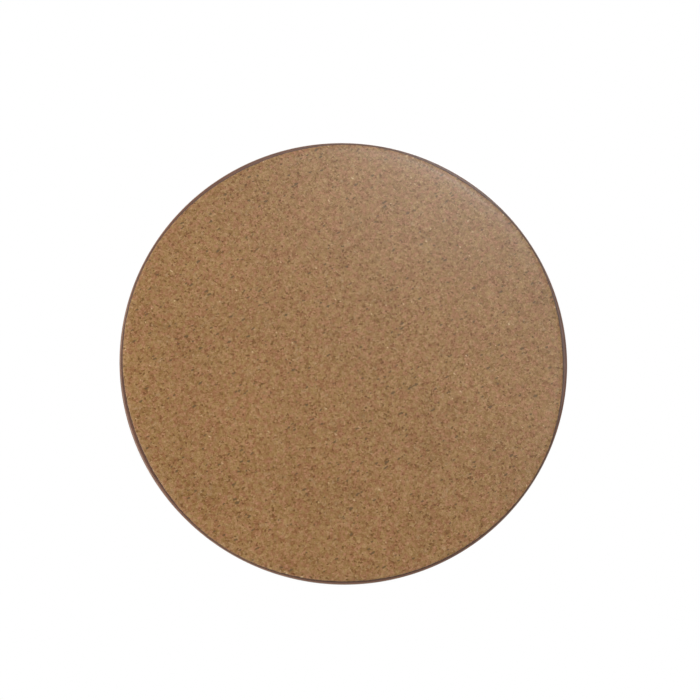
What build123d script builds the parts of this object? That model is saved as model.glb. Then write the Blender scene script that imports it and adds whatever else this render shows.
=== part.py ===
from build123d import *
import os
from math import cos, pi, radians, sin, tau

# Round cork bulletin board that hangs on a wall by a ring.
#
# Millimetres. +Z is up, the wall is the plane y = 0, and the cork face looks along -Y.
# The origin is the point on the wall behind the crown of the hanger ring, where the nail
# or hook that carries the board goes in.

os.makedirs("parts", exist_ok=True)

# ---- driving dimensions ----------------------------------------------------------------

board_diameter = 300.0
hanging_point_below_top = 28.0

core_thickness = 9.5
edge_band_width = 4.0
edge_band_glue_gap = 0.05
edge_band_front_radius = 1.5
edge_band_back_radius = 0.6

cork_thickness = 1.5
cork_mean_radius = 147.7
cork_edge_radius = 0.3
# The sheet is trimmed by hand, so its outline wanders about the mean radius. Each lobe is
# (count round the disc, height, angle of the first crest times the count, in degrees).
cork_trim_lobes = (
    (1, 0.39, -82),
    (2, 0.19, -166),
    (3, 0.18, 156),
    (4, 0.34, -111),
    (5, 0.40, 125),
    (6, 0.23, -175),
    (7, 0.24, -145),
)
cork_trim_points = 72

film_thickness = 0.15
film_diameter = 291.0

bumper_diameter = 12.7
bumper_height = 3.5
bumper_rim_radius = 0.7
bumper_circle_radius = 118.0

wire_diameter = 1.8
ring_width = 16.0
ring_side_height = 5.0
ring_corner_radius = 2.0
ring_butt_gap = 0.3

strap_thickness = 0.5
strap_width = 11.0
strap_tail = 26.5
strap_layer_step = 1.2
strap_hole_diameter = 3.2
strap_neck_radius = 0.8
bar_running_clearance = 0.05

screw_length = 8.0
screw_root_diameter = 2.2
screw_point_length = 2.0
screw_head_diameter = 5.5
screw_head_height = 1.7
screw_head_side = 0.5
screw_upper_drop = 7.5
screw_spacing = 14.0
recess_length = 3.0
recess_width = 0.62
recess_depth = 1.1
recess_taper = 12
pilot_hole_clearance = 0.05
pilot_hole_extra_depth = 0.5

# ---- what follows from them ------------------------------------------------------------

board_radius = board_diameter / 2
board_z = hanging_point_below_top - board_radius
band_inner_radius = board_radius - edge_band_width
core_radius = band_inner_radius - edge_band_glue_gap

# Distances from the wall, towards the room.
core_back = bumper_height
core_front = core_back + core_thickness
cork_back = core_front + film_thickness

# The ring's straight bar turns in the strap's loop, which lies on the back of the board.
ring_crown_height = ring_side_height + ring_width / 2
bar_z = wire_diameter / 2 - ring_crown_height
loop_inner_radius = wire_diameter / 2 + bar_running_clearance
loop_outer_radius = loop_inner_radius + strap_thickness
bar_distance = core_back - loop_outer_radius

# The strap is folded double below the loop, and the screws clamp both layers.
strap_face = core_back - 2 * strap_thickness
screw_upper_z = bar_z - screw_upper_drop
screw_lower_z = screw_upper_z - screw_spacing


def facing_room(distance, x=0.0, z=0.0):
    """The plane parallel to the wall at this distance from it, with its normal to the room."""
    return Plane(origin=(x, -distance, z), x_dir=(1, 0, 0), z_dir=(0, -1, 0))


def trimmed_radius(angle):
    """Radius of the cork's hand-trimmed edge at this angle, counted from +X towards +Z."""
    wander = sum(height * cos(count * angle - radians(crest)) for count, height, crest in cork_trim_lobes)
    return cork_mean_radius + wander


def trimmed_point(step):
    """One point of the cork's outline, on the sketch plane."""
    angle = tau * step / cork_trim_points
    return (trimmed_radius(angle) * cos(angle), trimmed_radius(angle) * sin(angle))


# ---- board -----------------------------------------------------------------------------

with BuildPart() as core_board:
    with BuildSketch(facing_room(core_back, z=board_z)):
        Circle(core_radius)
    extrude(amount=core_thickness)
    with BuildSketch(facing_room(core_back)):
        with Locations((0, screw_upper_z), (0, screw_lower_z)):
            Circle(screw_root_diameter / 2 + pilot_hole_clearance)
    extrude(amount=screw_length - 2 * strap_thickness + pilot_hole_extra_depth, mode=Mode.SUBTRACT)
core_board.part.label = "core_board"

with BuildPart() as edge_band:
    with BuildSketch(facing_room(core_back, z=board_z)):
        Circle(board_radius)
        Circle(band_inner_radius, mode=Mode.SUBTRACT)
    extrude(amount=core_thickness)
    band_front = edge_band.faces().sort_by(Axis.Y)[0]
    fillet(band_front.edges().sort_by(SortBy.LENGTH)[-1], edge_band_front_radius)
    band_back = edge_band.faces().sort_by(Axis.Y)[-1]
    fillet(band_back.edges().sort_by(SortBy.LENGTH)[-1], edge_band_back_radius)
edge_band.part.label = "edge_band"

with BuildPart() as adhesive_film:
    with BuildSketch(facing_room(core_front, z=board_z)):
        Circle(film_diameter / 2)
    extrude(amount=film_thickness)
adhesive_film.part.label = "adhesive_film"

with BuildPart() as cork_sheet:
    with BuildSketch(facing_room(cork_back, z=board_z)):
        with BuildLine():
            Spline([trimmed_point(step) for step in range(cork_trim_points)], periodic=True)
        make_face()
    extrude(amount=cork_thickness)
    fillet(cork_sheet.faces().sort_by(Axis.Y)[0].edges(), cork_edge_radius)
cork_sheet.part.label = "cork_sheet"

# ---- hanger ----------------------------------------------------------------------------

with BuildPart() as hanger_strap:
    with BuildSketch(Plane.YZ) as strap_profile:
        with Locations((-bar_distance, bar_z)):
            Circle(loop_outer_radius)
        with Locations((-core_back, bar_z)):
            Rectangle(strap_thickness, strap_tail, align=(Align.MIN, Align.MAX))
            Rectangle(2 * strap_thickness, strap_tail - strap_layer_step, align=(Align.MIN, Align.MAX))
        with Locations((-bar_distance, bar_z)):
            Circle(loop_inner_radius, mode=Mode.SUBTRACT)
        neck = Vector(-strap_face, bar_z - loop_outer_radius)
        fillet(strap_profile.vertices().sort_by_distance(neck)[0], strap_neck_radius)
    extrude(amount=strap_width / 2, both=True)
    # The tail's end is a half circle as wide as the strap.
    with BuildSketch(facing_room(0)):
        with Locations((0, bar_z + loop_outer_radius)):
            Rectangle(
                strap_width,
                loop_outer_radius + strap_tail - strap_width / 2,
                align=(Align.CENTER, Align.MAX),
            )
        with Locations((0, bar_z - strap_tail + strap_width / 2)):
            Circle(strap_width / 2)
    extrude(amount=core_back, mode=Mode.INTERSECT)
    with BuildSketch(facing_room(0)):
        with Locations((0, screw_upper_z), (0, screw_lower_z)):
            Circle(strap_hole_diameter / 2)
    extrude(amount=core_back, mode=Mode.SUBTRACT)
hanger_strap.part.label = "hanger_strap"

with BuildPart() as hanger_ring:
    with BuildLine(facing_room(bar_distance, z=bar_z)) as ring_path:
        # Bent wire whose two ends meet in the middle of the bar, inside the strap's loop.
        side_x = ring_width / 2
        bend_x = side_x - ring_corner_radius
        Line((ring_butt_gap / 2, 0), (bend_x, 0))
        CenterArc((bend_x, ring_corner_radius), ring_corner_radius, -90, 90)
        Line((side_x, ring_corner_radius), (side_x, ring_side_height))
        CenterArc((0, ring_side_height), side_x, 0, 180)
        Line((-side_x, ring_side_height), (-side_x, ring_corner_radius))
        CenterArc((-bend_x, ring_corner_radius), ring_corner_radius, 180, 90)
        Line((-bend_x, 0), (-ring_butt_gap / 2, 0))
    ring_wire = ring_path.wire()
    with BuildSketch(Plane(origin=ring_wire @ 0, z_dir=ring_wire % 0)):
        Circle(wire_diameter / 2)
    sweep(path=ring_wire)
hanger_ring.part.label = "hanger_ring"


def pan_head_screw(screw_z, name):
    """A cross-recess wood screw through the strap into the board, without its thread."""
    with BuildPart() as screw:
        with BuildSketch(Plane.YZ):
            with BuildLine():
                head_top = (-strap_face + screw_head_height, screw_z)
                side_top = (-strap_face + screw_head_side, screw_z + screw_head_diameter / 2)
                side_foot = (-strap_face, screw_z + screw_head_diameter / 2)
                root_top = (-strap_face, screw_z + screw_root_diameter / 2)
                point_start = (-strap_face - screw_length + screw_point_length, root_top[1])
                tip = (-strap_face - screw_length, screw_z)
                TangentArc(head_top, side_top, tangent=(0, 1))
                Polyline(side_top, side_foot, root_top, point_start, tip, head_top)
            make_face()
        revolve(axis=Axis((0, 0, screw_z), (0, 1, 0)))
        with BuildSketch(facing_room(strap_face - screw_head_height, z=screw_z)):
            Rectangle(recess_length, recess_width)
            Rectangle(recess_width, recess_length)
        extrude(amount=recess_depth, taper=recess_taper, mode=Mode.SUBTRACT)
    screw.part.label = name
    return screw.part


hanger_screw_upper = pan_head_screw(screw_upper_z, "hanger_screw_upper")
hanger_screw_lower = pan_head_screw(screw_lower_z, "hanger_screw_lower")

# ---- bumpers ---------------------------------------------------------------------------


def wall_bumper(angle_degrees, name):
    """A round rubber bumper on the back of the board, on a circle about the board's centre."""
    angle = radians(angle_degrees)
    x = bumper_circle_radius * cos(angle)
    z = board_z + bumper_circle_radius * sin(angle)
    with BuildPart() as bumper:
        with BuildSketch(facing_room(0, x=x, z=z)):
            Circle(bumper_diameter / 2)
        extrude(amount=bumper_height)
        fillet(bumper.faces().sort_by(Axis.Y)[-1].edges(), bumper_rim_radius)
    bumper.part.label = name
    return bumper.part


# Left and right are as seen from the room.
bumpers = [
    wall_bumper(45, "wall_bumper_upper_right"),
    wall_bumper(135, "wall_bumper_upper_left"),
    wall_bumper(225, "wall_bumper_lower_left"),
    wall_bumper(315, "wall_bumper_lower_right"),
]

# ---- files -----------------------------------------------------------------------------

ring_length = pi * ring_width / 2 + pi * ring_corner_radius + 2 * (ring_side_height - ring_corner_radius)
ring_length += ring_width - 2 * ring_corner_radius - ring_butt_gap
ring_volume = ring_length * pi * wire_diameter**2 / 4
print("ring volume", round(hanger_ring.part.volume, 2), "section times length", round(ring_volume, 2))

export_step(core_board.part, "parts/core_board.step")
export_step(edge_band.part, "parts/edge_band.step")
export_step(adhesive_film.part, "parts/adhesive_film.step")
export_step(cork_sheet.part, "parts/cork_sheet.step")
export_step(hanger_strap.part, "parts/hanger_strap.step")
export_step(hanger_ring.part, "parts/hanger_ring.step")
export_step(hanger_screw_upper, "parts/hanger_screw_upper.step")
export_step(hanger_screw_lower, "parts/hanger_screw_lower.step")
for bumper in bumpers:
    export_step(bumper, f"parts/{bumper.label}.step")
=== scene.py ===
from math import atan2, cos, pi, radians, sin, tau

import bpy
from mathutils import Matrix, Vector, noise


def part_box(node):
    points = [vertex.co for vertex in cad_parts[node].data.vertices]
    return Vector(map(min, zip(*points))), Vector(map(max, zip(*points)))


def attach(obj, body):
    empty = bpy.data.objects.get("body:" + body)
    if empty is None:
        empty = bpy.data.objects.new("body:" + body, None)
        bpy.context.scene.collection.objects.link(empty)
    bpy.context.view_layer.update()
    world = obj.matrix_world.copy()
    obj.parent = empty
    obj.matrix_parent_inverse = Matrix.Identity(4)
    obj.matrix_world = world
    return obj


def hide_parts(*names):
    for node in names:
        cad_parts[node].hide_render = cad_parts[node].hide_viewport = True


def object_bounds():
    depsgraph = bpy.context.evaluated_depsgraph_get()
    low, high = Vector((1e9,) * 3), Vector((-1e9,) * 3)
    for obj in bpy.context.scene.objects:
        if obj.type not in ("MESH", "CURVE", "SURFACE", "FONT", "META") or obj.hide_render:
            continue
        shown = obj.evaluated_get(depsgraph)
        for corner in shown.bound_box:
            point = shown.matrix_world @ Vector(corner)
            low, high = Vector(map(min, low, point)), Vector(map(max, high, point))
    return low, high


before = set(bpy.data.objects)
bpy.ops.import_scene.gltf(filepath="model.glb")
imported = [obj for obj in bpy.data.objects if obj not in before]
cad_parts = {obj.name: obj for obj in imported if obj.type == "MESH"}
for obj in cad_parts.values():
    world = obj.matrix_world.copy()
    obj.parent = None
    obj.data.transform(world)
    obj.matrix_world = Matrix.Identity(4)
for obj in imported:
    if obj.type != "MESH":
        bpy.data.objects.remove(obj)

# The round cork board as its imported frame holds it, with finished surfaces. Metres; +Z is
# up, the cork faces -Y and the wall is the plane y = 0.

MM = 0.001
CAD_BOX = [list(corner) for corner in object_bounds()]

# ---- camera and light ------------------------------------------------------------------

# Degrees: the camera stands a little left of the board and below it, looking up.
CAMERA_AZIMUTH = -2.70
CAMERA_ELEVATION = -10.30
CAMERA_DISTANCE = 0.95
CAMERA_LENS = 73.12
CAMERA_SENSOR = 36.0
CAMERA_AIM_RIGHT = 3.23 * MM
CAMERA_AIM_UP = 4.68 * MM

# Strength of the sky: as the camera sees it, and as a fill. The fill has a least strength,
# and grows as the direction's z, or its x, goes through the range.
SKY_SEEN = 1.0
SKY_FILL_LEAST = 0.10
SKY_FILL_ABOVE = 0.80
SKY_FILL_RIGHT = 0.30
SKY_FILL_RANGE = (0.05, 0.60)

# Each panel: name, place from the middle of the cork's face, side, power in watts, tint.
KEY_TINT = (0.90, 1.0, 1.06)
LEFT_TINT = (1.06, 0.98, 0.87)
PLAIN_TINT = (1.0, 1.0, 1.0)
PANELS = (
    ("key_panel", (0.38, -1.45, 0.84), 0.5, 9.8, KEY_TINT),
    ("left_panel", (-1.5, -0.75, -0.05), 1.5, 30.5, LEFT_TINT),
    ("right_panel", (0.60, -1.36, 0.14), 0.35, 1.4, KEY_TINT),
    ("back_panel", (0.5, 1.5, 1.2), 1.0, 12.0, PLAIN_TINT),
)

# How far the floor lies under the part, its side, and the distances from the origin over
# which the camera sees it fade.
FLOOR_DROP = 2.4
FLOOR_SIZE = 40.0
FLOOR_FADE = (3.5, 16.0)
FLOOR_MOTTLE = 15 * MM

# ---- the cork's outline, as in the CAD model ---------------------------------------------

# Each lobe is (count round the disc, height, angle of the first crest times the count, in
# degrees). Scratch programs fitted the lobes and the mean radius, by least squares, to the
# width of the rim in the photograph.
CORK_MEAN_RADIUS = 147.7 * MM
CORK_TRIM_LOBES = (
    (1, 0.39 * MM, -82),
    (2, 0.19 * MM, -166),
    (3, 0.18 * MM, 156),
    (4, 0.34 * MM, -111),
    (5, 0.40 * MM, 125),
    (6, 0.23 * MM, -175),
    (7, 0.24 * MM, -145),
)


def srgb(red, green, blue):
    """A display colour from 0 to 255 as the linear colour that shaders take."""
    linear = []
    for channel in (red, green, blue):
        value = channel / 255
        linear.append(value / 12.92 if value <= 0.04045 else ((value + 0.055) / 1.055) ** 2.4)
    return (*linear, 1.0)


class Graph:
    """A node tree under construction. Sizes and distances are in metres."""

    def __init__(self, tree):
        self.tree = tree

    def add(self, kind, inputs=None, **settings):
        node = self.tree.nodes.new(kind)
        for name, value in settings.items():
            setattr(node, name, value)
        for key, value in (inputs or {}).items():
            self.feed(node.inputs[key], value)
        return node

    def feed(self, socket, value):
        if isinstance(value, bpy.types.NodeSocket):
            self.tree.links.new(value, socket)
        elif value is not None:
            socket.default_value = value

    def math(self, operation, a, b=None, c=None):
        node = self.add("ShaderNodeMath", operation=operation)
        for socket, value in zip(node.inputs, (a, b, c)):
            self.feed(socket, value)
        return node.outputs[0]

    def vector(self, operation, a, b=None, scale=None):
        node = self.add("ShaderNodeVectorMath", operation=operation)
        self.feed(node.inputs[0], a)
        self.feed(node.inputs[1], b)
        if scale is not None:
            self.feed(node.inputs["Scale"], scale)
        return node.outputs[0]

    def noise(self, at, size, detail=2.0, roughness=0.5):
        """Noise whose features are about this size, in metres: (value, colour)."""
        node = self.add(
            "ShaderNodeTexNoise",
            {"Vector": at, "Scale": 1 / size, "Detail": detail, "Roughness": roughness},
        )
        return node.outputs["Fac"], node.outputs["Color"]

    def cells(self, at, size, feature="F1"):
        """Voronoi cells about this far apart, in metres."""
        node = self.add("ShaderNodeTexVoronoi", {"Vector": at}, feature=feature)
        node.inputs["Scale"].default_value = 1 / size
        return node

    def laid(self, at, turn, stretch):
        """The place turned about Y, then stretched, so that a texture on it lies another way."""
        settings = {"Vector": at, "Angle": turn}
        turned = self.add("ShaderNodeVectorRotate", settings, rotation_type="Y_AXIS")
        return self.vector("MULTIPLY", turned.outputs[0], stretch)

    def split(self, colour):
        return self.add("ShaderNodeSeparateXYZ", {0: colour}).outputs

    def fade(self, value, low, high, to_low=0.0, to_high=1.0):
        """Maps value from low..high smoothly to to_low..to_high, held flat outside."""
        node = self.add("ShaderNodeMapRange", interpolation_type="SMOOTHSTEP")
        limits = (("From Min", low), ("From Max", high), ("To Min", to_low), ("To Max", to_high))
        for key, number in limits:
            node.inputs[key].default_value = number
        self.feed(node.inputs["Value"], value)
        return node.outputs["Result"]

    def ramp(self, value, stops):
        """The colour at this value on a straight ramp through the stops."""
        node = self.add("ShaderNodeValToRGB", {"Fac": value})
        ramp = node.color_ramp
        while len(ramp.elements) < len(stops):
            ramp.elements.new(0.5)
        for element, (place, colour) in zip(ramp.elements, stops):
            element.position = place
            element.color = colour
        return node.outputs["Color"]

    def mix(self, factor, a, b, blend="MIX"):
        node = self.add("ShaderNodeMix", data_type="RGBA", blend_type=blend)
        self.feed(node.inputs["Factor"], factor)
        self.feed(node.inputs["A"], a)
        self.feed(node.inputs["B"], b)
        return node.outputs["Result"]


class Finish(Graph):
    """A material on one Principled shader."""

    def __init__(self, name):
        self.material = bpy.data.materials.new(name)
        self.material.use_nodes = True
        super().__init__(self.material.node_tree)
        self.shader = self.tree.nodes["Principled BSDF"]

    def place(self):
        return self.add("ShaderNodeTexCoord").outputs["Object"]

    def set(self, **values):
        for name, value in values.items():
            self.feed(self.shader.inputs[name.replace("_", " ")], value)

    def bump(self, height, distance, strength):
        inputs = {"Height": height, "Strength": strength, "Distance": distance}
        return self.add("ShaderNodeBump", inputs).outputs["Normal"]


# ---- cork ------------------------------------------------------------------------------

WHITE = srgb(255, 255, 255)
GRANULE_SIZE = 2.5 * MM
GRANULE_WARP = 1.9 * MM
CHIP_SIZE = 1.15 * MM
GRAIN_SIZE = 0.5 * MM

# The face's sheen falls between these radii, and the darkening of the cut edge sets in
# between these distances from the outline.
CORK_MATT_MARGIN = (141.0 * MM, 144.8 * MM)
CORK_CUT_REACH = (-0.5 * MM, 0.1 * MM)

# Layers of slivers and flecks: (turn in radians, stretch, size).
PALE_LAYERS = (
    (0.9, (1.0, 1.0, 0.45), 1.9 * MM),
    (2.5, (1.0, 1.0, 0.6), 2.7 * MM),
)
BARK_LAYERS = (
    (0.5, (0.5, 1.0, 1.0), 2.3 * MM),
    (2.1, (1.0, 1.0, 0.45), 2.9 * MM),
)
CORK_TONES = (
    (0.00, srgb(163, 121, 99)),
    (0.22, srgb(169, 129, 103)),
    (0.42, srgb(168, 134, 104)),
    (0.62, srgb(164, 138, 96)),
    (0.82, srgb(170, 139, 110)),
    (1.00, srgb(157, 135, 108)),
)
CHIP_SHADES = (
    (0.00, srgb(162, 137, 93)),
    (0.08, srgb(199, 183, 149)),
    (0.32, srgb(220, 210, 188)),
    (0.70, srgb(237, 231, 219)),
    (0.90, srgb(246, 243, 237)),
    (1.00, WHITE),
)


def off_centre(graph, place):
    """Distance from the board's axis, in metres."""
    from_centre = graph.vector("SUBTRACT", place, (board_x, 0.0, board_z))
    flat = graph.vector("MULTIPLY", from_centre, (1.0, 0.0, 1.0))
    node = graph.add("ShaderNodeVectorMath", {0: flat}, operation="LENGTH")
    return node.outputs["Value"]


def cork_cells(graph, place):
    """The pressed granules as cell nodes: (large granules, small chips, the warped place)."""
    _, wobble = graph.noise(place, 2.0 * MM, detail=3.0, roughness=0.6)
    centred = graph.vector("SUBTRACT", wobble, (0.5, 0.5, 0.5))
    warped = graph.vector("ADD", place, graph.vector("SCALE", centred, scale=GRANULE_WARP))
    return graph.cells(warped, GRANULE_SIZE), graph.cells(warped, CHIP_SIZE), warped


def beyond_cork(graph, place):
    """Distance outwards from the cork's trimmed edge, in metres."""
    x, _, z = graph.split(graph.vector("SUBTRACT", place, (board_x, 0.0, board_z)))
    angle = graph.math("ARCTAN2", z, x)
    edge = None
    for count, height, crest in CORK_TRIM_LOBES:
        turn = graph.math("MULTIPLY_ADD", angle, float(count), -radians(crest))
        wave = graph.math("MULTIPLY", graph.math("COSINE", turn), height)
        edge = wave if edge is None else graph.math("ADD", edge, wave)
    return graph.math("SUBTRACT", off_centre(graph, place), graph.math("ADD", edge, CORK_MEAN_RADIUS))


def flecks(graph, at, layers, channel, rarest, reach, soft):
    """How far inside a fleck the place is, 0 to 1, for the few cells of each layer that have one."""
    found = None
    for turn, stretch, size in layers:
        cell = graph.cells(graph.laid(at, turn, stretch), size)
        width = graph.fade(graph.split(cell.outputs["Color"])[channel], rarest, 1.0, 0.0, reach)
        inside = graph.fade(graph.math("SUBTRACT", width, cell.outputs["Distance"]), 0.0, soft)
        found = inside if found is None else graph.math("MAXIMUM", found, inside)
    return found


def cork_finish():
    """Pressed cork granules in several hues, with pale slivers, bark flecks and dark gaps."""
    f = Finish("cork")
    place = f.place()
    granules, chips, warped = cork_cells(f, place)
    shade = f.split(granules.outputs["Color"])
    chip_shade = f.split(chips.outputs["Color"])

    # Each granule has a hue of its own, from reddish to straw, and the chips in it differ in tone.
    hue = f.math("ADD", f.math("MULTIPLY", shade[0], 0.6), f.math("MULTIPLY", chip_shade[2], 0.4))
    colour = f.ramp(hue, CORK_TONES)
    colour = f.mix(1.0, colour, f.ramp(chip_shade[0], CHIP_SHADES), "MULTIPLY")

    # Cell walls inside the chips show as a fine grain.
    grain, _ = f.noise(warped, GRAIN_SIZE, detail=3.0, roughness=0.7)
    fine = f.ramp(grain, ((0.28, srgb(178, 156, 116)), (0.50, srgb(231, 223, 207)), (0.72, WHITE)))
    colour = f.mix(1.0, colour, fine, "MULTIPLY")

    # Gaps between granules, filled with dark binder in places.
    edges = f.cells(warped, GRANULE_SIZE, feature="DISTANCE_TO_EDGE").outputs["Distance"]
    gap = f.fade(edges, 0.0, 0.10, 1.0, 0.0)
    patchy, _ = f.noise(place, 4.0 * MM)
    gap = f.math("MULTIPLY", gap, f.fade(patchy, 0.42, 0.62, 0.0, 0.55))
    colour = f.mix(gap, colour, srgb(116, 80, 48))

    # A few pale granules, cut across their cells and ragged at their edges.
    pale = flecks(f, warped, PALE_LAYERS, channel=1, rarest=0.80, reach=0.36, soft=0.12)
    pale = f.math("MULTIPLY", pale, f.fade(grain, 0.35, 0.62, 0.25, 0.85))
    colour = f.mix(pale, colour, srgb(196, 172, 136))

    # Flecks of bark: small, dark and stretched, each layer lying another way.
    bark = flecks(f, warped, BARK_LAYERS, channel=0, rarest=0.66, reach=0.31, soft=0.09)
    bark = f.math("MULTIPLY", bark, f.fade(grain, 0.3, 0.6, 0.5, 1.0))
    colour = f.mix(bark, colour, srgb(84, 64, 38))

    # The sheet's tone drifts a little from place to place.
    drift, _ = f.noise(place, 45 * MM)
    drifted = f.ramp(drift, ((0.3, srgb(247, 246, 245)), (0.7, WHITE)))
    colour = f.mix(1.0, colour, drifted, "MULTIPLY")

    # The colour darkens towards the cut edge.
    cut = f.fade(beyond_cork(f, place), *CORK_CUT_REACH, 0.0, 0.55)
    colour = f.mix(cut, colour, srgb(112, 84, 64))

    height = f.math("SUBTRACT", f.math("MULTIPLY", grain, 0.35), f.math("MULTIPLY", gap, 0.7))
    height = f.math("SUBTRACT", height, f.math("MULTIPLY", bark, 0.5))
    height = f.math("ADD", height, f.math("MULTIPLY", chip_shade[1], 0.25))
    rough = f.fade(grain, 0.2, 0.8, 0.26, 0.38)

    # The pressed margin has less sheen than the rest of the face.
    margin = f.fade(off_centre(f, place), *CORK_MATT_MARGIN, 0.0, 0.36)
    rough = f.math("MAXIMUM", rough, margin)
    f.set(Base_Color=colour, Roughness=rough, Normal=f.bump(height, 0.03 * MM, 0.5))
    f.set(Specular_IOR_Level=0.35)
    return f.material


# ---- other finishes --------------------------------------------------------------------

# The rubbing sets in outwards between these radii and towards the room between these
# places along y. The painted shade in the corner against the cork fades out between these
# distances from the cork's outline.
RUBBED_RADIUS = (149.1 * MM, 149.8 * MM)
RUBBED_DEPTH = (-12.6 * MM, -11.4 * MM)
CORNER_SHADE_REACH = (0.35 * MM, 0.9 * MM)

# Layers of fibres in the fibreboard: (turn in radians, size).
FIBRE_LAYERS = ((0.3, 0.8 * MM), (1.1, 1.1 * MM), (1.9, 0.7 * MM), (2.7, 0.9 * MM))
FIBRE_STRETCH = (0.14, 1.0, 1.0)
SCRATCH_STRETCH = (1.0, 1.0, 0.12)


def band_finish():
    """Satin dark brown lacquer, rubbed on the outer front corner, with painted shade in the corner
    against the cork.
    """
    f = Finish("band_lacquer")
    place = f.place()
    tone, _ = f.noise(place, 9 * MM, detail=4.0, roughness=0.6)
    tones = ((0.3, srgb(81, 50, 37)), (0.55, srgb(91, 58, 43)), (0.75, srgb(101, 66, 49)))
    colour = f.ramp(tone, tones)
    fine, _ = f.noise(place, 0.5 * MM, detail=3.0)
    rough = f.fade(fine, 0.3, 0.7, 0.30, 0.42)

    # Rubbed towards the raw wood where hands touch it.
    patchy, _ = f.noise(place, 5 * MM, detail=4.0, roughness=0.65)
    front = f.fade(f.split(place)[1], *RUBBED_DEPTH, 1.0, 0.0)
    rubbed = f.math("MULTIPLY", f.fade(off_centre(f, place), *RUBBED_RADIUS), front)
    rubbed = f.math("MULTIPLY", rubbed, f.fade(patchy, 0.35, 0.65, 0.25, 0.75))
    colour = f.mix(rubbed, colour, srgb(146, 112, 80))

    # Painted shade in the corner at the foot of the cork: darker, and rougher.
    corner_shade = f.fade(beyond_cork(f, place), *CORNER_SHADE_REACH, 0.8, 0.0)
    corner_shade = f.math("MULTIPLY", f.math("MULTIPLY", corner_shade, front), f.fade(patchy, 0.3, 0.6, 0.6, 1.0))
    colour = f.mix(corner_shade, colour, srgb(62, 42, 32))
    rough = f.math("ADD", rough, f.math("MULTIPLY", corner_shade, 0.35))
    f.set(Base_Color=colour, Roughness=rough, Normal=f.bump(fine, 0.03 * MM, 0.5))
    f.set(Specular_IOR_Level=0.5)
    return f.material


def fibreboard_finish():
    """Pressed wood fibre: curling pale and dark fibres and a few bark specks on a tan ground."""
    f = Finish("fibreboard")
    place = f.place()
    tone, _ = f.noise(place, 18 * MM, detail=5.0, roughness=0.6)
    ground = f.ramp(tone, ((0.3, srgb(160, 127, 92)), (0.7, srgb(172, 140, 104))))
    _, curl = f.noise(place, 5 * MM, detail=3.0)
    curl = f.vector("SCALE", f.vector("SUBTRACT", curl, (0.5, 0.5, 0.5)), scale=7 * MM)
    curled = f.vector("ADD", place, curl)
    fibres = None
    for turn, size in FIBRE_LAYERS:
        value, _ = f.noise(f.laid(curled, turn, FIBRE_STRETCH), size)
        fibres = value if fibres is None else f.math("MAXIMUM", fibres, value)
    shade = f.ramp(fibres, ((0.54, srgb(206, 196, 184)), (0.62, srgb(238, 234, 230)), (0.72, WHITE)))
    colour = f.mix(1.0, ground, shade, "MULTIPLY")
    specks = f.cells(curled, 2.6 * MM)
    reach = f.fade(f.split(specks.outputs["Color"])[0], 0.7, 1.0, 0.0, 0.22)
    speck = f.fade(f.math("SUBTRACT", reach, specks.outputs["Distance"]), 0.0, 0.08, 0.0, 0.55)
    colour = f.mix(speck, colour, srgb(92, 64, 42))
    f.set(Base_Color=colour, Roughness=0.85, Normal=f.bump(fibres, 0.2 * MM, 0.5))
    f.set(Specular_IOR_Level=0.3)
    return f.material


def metal_finish(name, tint, roughness):
    """Plated steel: faint cloudiness in the plating and fine handling scratches."""
    f = Finish(name)
    place = f.place()
    cloud, _ = f.noise(place, 3 * MM, detail=4.0)
    fine, _ = f.noise(f.vector("MULTIPLY", place, SCRATCH_STRETCH), 0.25 * MM)
    colour = f.mix(f.fade(cloud, 0.3, 0.7), tint, srgb(226, 222, 206))
    rough = f.fade(f.math("ADD", cloud, fine), 0.7, 1.3, roughness * 0.8, roughness * 1.25)
    f.set(Base_Color=colour, Metallic=1.0, Roughness=rough, Normal=f.bump(fine, 0.01 * MM, 0.4))
    return f.material


def rubber_finish():
    """Dark grey moulded rubber with a bloom of dust."""
    f = Finish("bumper_rubber")
    place = f.place()
    dust, _ = f.noise(place, 2.5 * MM, detail=6.0, roughness=0.65)
    colour = f.ramp(dust, ((0.35, srgb(40, 40, 42)), (0.6, srgb(52, 52, 53)), (0.8, srgb(78, 76, 73))))
    fine, _ = f.noise(place, 0.3 * MM)
    rough = f.fade(dust, 0.3, 0.7, 0.55, 0.8)
    f.set(Base_Color=colour, Roughness=rough, Normal=f.bump(fine, 0.04 * MM, 0.5))
    return f.material


def glue_finish():
    """Dried contact glue, slightly rippled."""
    f = Finish("dried_glue")
    ripple, _ = f.noise(f.place(), 4 * MM, detail=3.0)
    colour = f.ramp(ripple, ((0.3, srgb(196, 172, 120)), (0.7, srgb(220, 200, 152))))
    f.set(Base_Color=colour, Roughness=0.4, Normal=f.bump(ripple, 0.1 * MM, 0.5))
    return f.material


# ---- mesh helpers ----------------------------------------------------------------------


def new_piece(name, points, faces, material, body):
    """A smooth-shaded mesh that rides on this body and fills this material slot."""
    mesh = bpy.data.meshes.new(name)
    mesh.from_pydata(points, [], faces)
    mesh.update()
    mesh.materials.append(material)
    mesh.polygons.foreach_set("use_smooth", [True] * len(mesh.polygons))
    piece = bpy.data.objects.new(name, mesh)
    bpy.context.scene.collection.objects.link(piece)
    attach(piece, body)
    return piece


def repaint(node, material):
    """Gives a CAD node's object this material in place of its plain one."""
    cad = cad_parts[node]
    cad.data.materials.clear()
    cad.data.materials.append(material)


# ---- board -----------------------------------------------------------------------------

band_low, band_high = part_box("edge_band")
cork_low, cork_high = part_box("cork_sheet")
board_x = 0.0
board_z = (band_low.z + band_high.z) / 2
board_radius = (band_high.z - band_low.z) / 2


def trimmed_radius(angle):
    """Radius of the cork's outline at this angle, counted from +X towards +Z."""
    wander = sum(
        height * cos(count * angle - radians(crest)) for count, height, crest in CORK_TRIM_LOBES
    )
    return CORK_MEAN_RADIUS + wander


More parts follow.
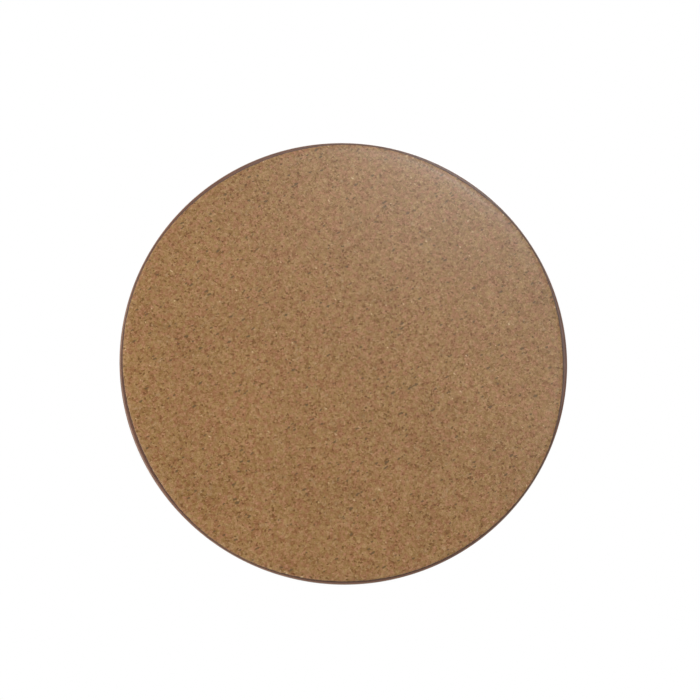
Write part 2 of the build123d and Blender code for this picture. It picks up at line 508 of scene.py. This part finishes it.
CORK_GRID = 280
CORK_EDGE_ROUND = 0.35 * MM
CORK_SHOULDER_WIDTH = 3.6 * MM
CORK_SHOULDER_DROP = 0.36 * MM
CORK_SHOULDER_POWER = 1.5
CORK_DISH_WIDTH = 13.0 * MM
CORK_DISH_DROP = 0.22 * MM
CORK_DISH_POWER = 2
# How sharply the face's grid turns from a plain disc to the ragged outline, as a power of
# the share of the radius.
CORK_OUTLINE_POWER = 6
# Angles down the rounded front corner, then shares of the thickness down the cut edge.
CORK_ROUND_TURNS = (0.5, 1.0, pi / 2)
CORK_EDGE_DEPTHS = (0.45, 0.7, 1.0)
# The granules at the cut edge, in parts of CORK_CRUMB: how far their middles stand out,
# how fast they fall away from there, how far the edge is torn back, and the most that
# the tearing's noise counts where it would push the edge out.
CORK_CRUMB = 0.28 * MM
CRUMB_CREST = 0.75
CRUMB_FALL = 1.4
CRUMB_TEAR = 0.9
CRUMB_TEAR_MOST = 0.15
CORK_RELIEF = 0.03 * MM
CORK_RELIEF_SIZE = 3.4 * MM
GRANULE_AROUND = 2.1 * MM
GRANULE_THROUGH = 1.4 * MM
TEAR_SIZE = 6.5 * MM


def disc_point(column, row, count):
    """(share of the radius, angle) of a square grid's point when the square is pressed into a disc."""
    a = 2 * column / count - 1
    b = 2 * row / count - 1
    if a == 0 and b == 0:
        return 0.0, 0.0
    if abs(a) > abs(b):
        share, angle = a, (pi / 4) * (b / a)
    else:
        share, angle = b, pi / 2 - (pi / 4) * (a / b)
    if share < 0:
        share, angle = -share, angle + pi
    return share, angle % tau


def crumb(angle, depth):
    """How far granules at the cut edge stand out or are torn back, in metres."""
    around = Vector((cos(angle), sin(angle), 0)) * CORK_MEAN_RADIUS
    place = around / GRANULE_AROUND + Vector((0, 0, depth / GRANULE_THROUGH))
    near = noise.voronoi(place)[0]
    torn = noise.noise(around / TEAR_SIZE)
    tear = CRUMB_TEAR * min(torn, CRUMB_TEAR_MOST)
    return CORK_CRUMB * (CRUMB_CREST - CRUMB_FALL * near[0] + tear)


def shoulder(from_edge):
    """How far the face has been pressed down this close to its cut edge, in metres."""
    near = max(0.0, 1 - from_edge / CORK_SHOULDER_WIDTH)
    far = max(0.0, 1 - from_edge / CORK_DISH_WIDTH)
    pressed = CORK_SHOULDER_DROP * near**CORK_SHOULDER_POWER
    return pressed + CORK_DISH_DROP * far**CORK_DISH_POWER


def cork_piece(material):
    """The cork sheet: a fine grid on the face, a rounded crumbling edge and a plain back."""
    front, back = cork_low.y, cork_high.y
    points = []
    for row in range(CORK_GRID + 1):
        for column in range(CORK_GRID + 1):
            share, angle = disc_point(column, row, CORK_GRID)
            edge = trimmed_radius(angle) + crumb(angle, 0.0) - CORK_EDGE_ROUND
            blend = share**CORK_OUTLINE_POWER
            radius = share * ((1 - blend) * CORK_MEAN_RADIUS + blend * edge)
            x, z = radius * cos(angle), radius * sin(angle)
            dip = CORK_RELIEF * (0.5 + 0.5 * noise.noise(Vector((x, 0, z)) / CORK_RELIEF_SIZE))
            level = front + shoulder(edge - radius) + (dip if share < 1.0 else 0.0)
            points.append((board_x + x, level, board_z + z))
    side = CORK_GRID + 1
    faces = []
    for row in range(CORK_GRID):
        for column in range(CORK_GRID):
            corner = row * side + column
            faces.append((corner, corner + 1, corner + side + 1, corner + side))
    border = list(range(CORK_GRID))
    border += [row * side + CORK_GRID for row in range(CORK_GRID)]
    border += [CORK_GRID * side + column for column in range(CORK_GRID, 0, -1)]
    border += [row * side for row in range(CORK_GRID, 0, -1)]
    angles = [atan2(points[i][2] - board_z, points[i][0] - board_x) for i in border]
    previous = border
    rim = front + shoulder(0.0)
    steps = [(CORK_EDGE_ROUND * sin(t), CORK_EDGE_ROUND * (1 - cos(t))) for t in CORK_ROUND_TURNS]
    steps += [(CORK_EDGE_ROUND, depth * (back - rim)) for depth in CORK_EDGE_DEPTHS]
    for out, depth in steps:
        ring = []
        for angle in angles:
            radius = trimmed_radius(angle) + crumb(angle, depth) - CORK_EDGE_ROUND + out
            ring.append(len(points))
            points.append((board_x + radius * cos(angle), rim + depth, board_z + radius * sin(angle)))
        for k in range(len(ring)):
            after = (k + 1) % len(ring)
            faces.append((previous[k], ring[k], ring[after], previous[after]))
        previous = ring
    faces.append(tuple(reversed(previous)))
    piece = new_piece("cork_facing", points, faces, material, "board")
    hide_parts("cork_sheet")


BAND_SEGMENTS = 360
BAND_FRONT_ROUND = 1.5 * MM
BAND_BACK_ROUND = 0.6 * MM
BAND_INNER_ROUND = 0.12 * MM
BAND_WIDTH = 4.0 * MM
FLAT_MARGIN = 0.1 * MM


def rounded(corner, before, after, radius, steps):
    """Points (r, y) that round a square corner, with one more on each flat to keep it flat.

    before and after are the unit steps along the profile into the corner and out of it.
    """
    centre = (corner[0] + radius * (after[0] - before[0]), corner[1] + radius * (after[1] - before[1]))
    start = (corner[0] - radius * before[0], corner[1] - radius * before[1])
    end = (corner[0] + radius * after[0], corner[1] + radius * after[1])
    points = [(start[0] - FLAT_MARGIN * before[0], start[1] - FLAT_MARGIN * before[1])]
    for step in range(steps + 1):
        turn = pi / 2 * step / steps
        points.append(tuple(
            centre[i] - radius * (after[i] * cos(turn) - before[i] * sin(turn)) for i in range(2)
        ))
    points.append((end[0] + FLAT_MARGIN * after[0], end[1] + FLAT_MARGIN * after[1]))
    return points


def band_piece(material):
    """The edge band turned in one piece: flat front, full front round, small back round."""
    outer = min(-band_low.x, band_high.x, board_radius)
    inner = board_radius - BAND_WIDTH
    front, back = band_low.y, band_high.y
    profile = rounded((inner, front), (0, -1), (1, 0), BAND_INNER_ROUND, 3)
    profile += rounded((outer, front), (1, 0), (0, 1), BAND_FRONT_ROUND, 10)
    profile += rounded((outer, back), (0, 1), (-1, 0), BAND_BACK_ROUND, 6)
    profile += rounded((inner, back), (-1, 0), (0, -1), BAND_INNER_ROUND, 3)
    points = []
    for segment in range(BAND_SEGMENTS):
        angle = tau * segment / BAND_SEGMENTS
        points += [(board_x + r * cos(angle), y, board_z + r * sin(angle)) for r, y in profile]
    count = len(profile)
    faces = []
    for segment in range(BAND_SEGMENTS):
        here = segment * count
        there = (segment + 1) % BAND_SEGMENTS * count
        for k in range(count):
            after = (k + 1) % count
            faces.append((here + k, here + after, there + after, there + k))
    piece = new_piece("edge_band_turned", points, faces, material, "board")
    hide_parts("edge_band")


# ---- stage -----------------------------------------------------------------------------


def aim(thing, at):
    """Turns a camera or a light to face this point."""
    thing.rotation_euler = (at - thing.location).to_track_quat("-Z", "Y").to_euler()


def make_camera():
    """The camera where it sees the board as the photograph does."""
    azimuth, elevation = radians(CAMERA_AZIMUTH), radians(CAMERA_ELEVATION)
    towards = Vector((sin(azimuth) * cos(elevation), -cos(azimuth) * cos(elevation), sin(elevation)))
    target = Vector((board_x + CAMERA_AIM_RIGHT, cork_low.y, board_z + CAMERA_AIM_UP))
    data = bpy.data.cameras.new("camera")
    data.lens = CAMERA_LENS
    data.sensor_width = CAMERA_SENSOR
    camera = bpy.data.objects.new("camera", data)
    camera.location = target + towards * CAMERA_DISTANCE
    aim(camera, target)
    bpy.context.scene.collection.objects.link(camera)
    bpy.context.scene.camera = camera


def make_panel(name, place, size, power, tint):
    """A soft square light that faces the board."""
    data = bpy.data.lights.new(name, "AREA")
    data.shape = "SQUARE"
    data.size = size
    data.energy = power
    data.color = tint
    light = bpy.data.objects.new(name, data)
    centre = Vector((board_x, cork_low.y, board_z))
    light.location = centre + Vector(place)
    aim(light, centre)
    bpy.context.scene.collection.objects.link(light)


def make_world():
    """White where the camera looks past the board; on the object, a fill from above and right."""
    world = bpy.data.worlds.new("studio")
    bpy.context.scene.world = world
    world.use_nodes = True
    g = Graph(world.node_tree)
    towards = g.split(g.add("ShaderNodeTexCoord").outputs["Generated"])
    above = g.fade(towards[2], *SKY_FILL_RANGE, 0.0, SKY_FILL_ABOVE)
    right = g.fade(towards[0], *SKY_FILL_RANGE, 0.0, SKY_FILL_RIGHT)
    fill = g.math("ADD", g.math("ADD", above, right), SKY_FILL_LEAST)
    seen = g.add("ShaderNodeLightPath").outputs["Is Camera Ray"]
    strength = g.math("MAXIMUM", fill, g.math("MULTIPLY", seen, SKY_SEEN))
    background = world.node_tree.nodes["Background"]
    background.inputs["Color"].default_value = (1.0, 1.0, 1.0, 1.0)
    g.feed(background.inputs["Strength"], strength)


def make_floor():
    """A plain pale floor, well below the board."""
    half = FLOOR_SIZE / 2
    level = CAD_BOX[0][2] - FLOOR_DROP
    mesh = bpy.data.meshes.new("floor")
    corners = [(x, y, level) for x, y in ((-half, -half), (half, -half), (half, half), (-half, half))]
    mesh.from_pydata(corners, [], [(0, 1, 2, 3)])
    f = Finish("floor_paint")
    tone, _ = f.noise(f.place(), FLOOR_MOTTLE, detail=3.0)
    pale = f.ramp(tone, ((0.3, srgb(238, 238, 237)), (0.7, srgb(242, 242, 241))))

    # The camera sees it fade into the white background far from the board.
    x, y, _ = f.split(f.place())
    away = f.math("SQRT", f.math("ADD", f.math("MULTIPLY", x, x), f.math("MULTIPLY", y, y)))
    seen = f.add("ShaderNodeLightPath").outputs["Is Camera Ray"]
    faded = f.math("MULTIPLY", f.fade(away, *FLOOR_FADE), seen)
    f.set(Base_Color=f.mix(faded, pale, srgb(0, 0, 0)), Emission_Strength=faded, Roughness=0.7)
    mesh.materials.append(f.material)
    floor = bpy.data.objects.new("floor", mesh)
    bpy.context.scene.collection.objects.link(floor)


# ---- everything ------------------------------------------------------------------------

make_camera()
make_world()
make_floor()
for panel in PANELS:
    make_panel(*panel)
bpy.context.scene.view_settings.view_transform = "Standard"

cork_piece(cork_finish())
band_piece(band_finish())
repaint("core_board", fibreboard_finish())
repaint("adhesive_film", glue_finish())
zinc = metal_finish("zinc_plate", srgb(198, 200, 200), 0.36)
repaint("hanger_strap", zinc)
repaint("hanger_ring", metal_finish("ring_wire", srgb(205, 205, 204), 0.2))
screw = metal_finish("screw_steel", srgb(190, 192, 190), 0.3)
repaint("hanger_screw_upper", screw)
repaint("hanger_screw_lower", screw)
rubber = rubber_finish()
for corner in ("upper_right", "upper_left", "lower_left", "lower_right"):
    repaint(f"wall_bumper_{corner}", rubber)
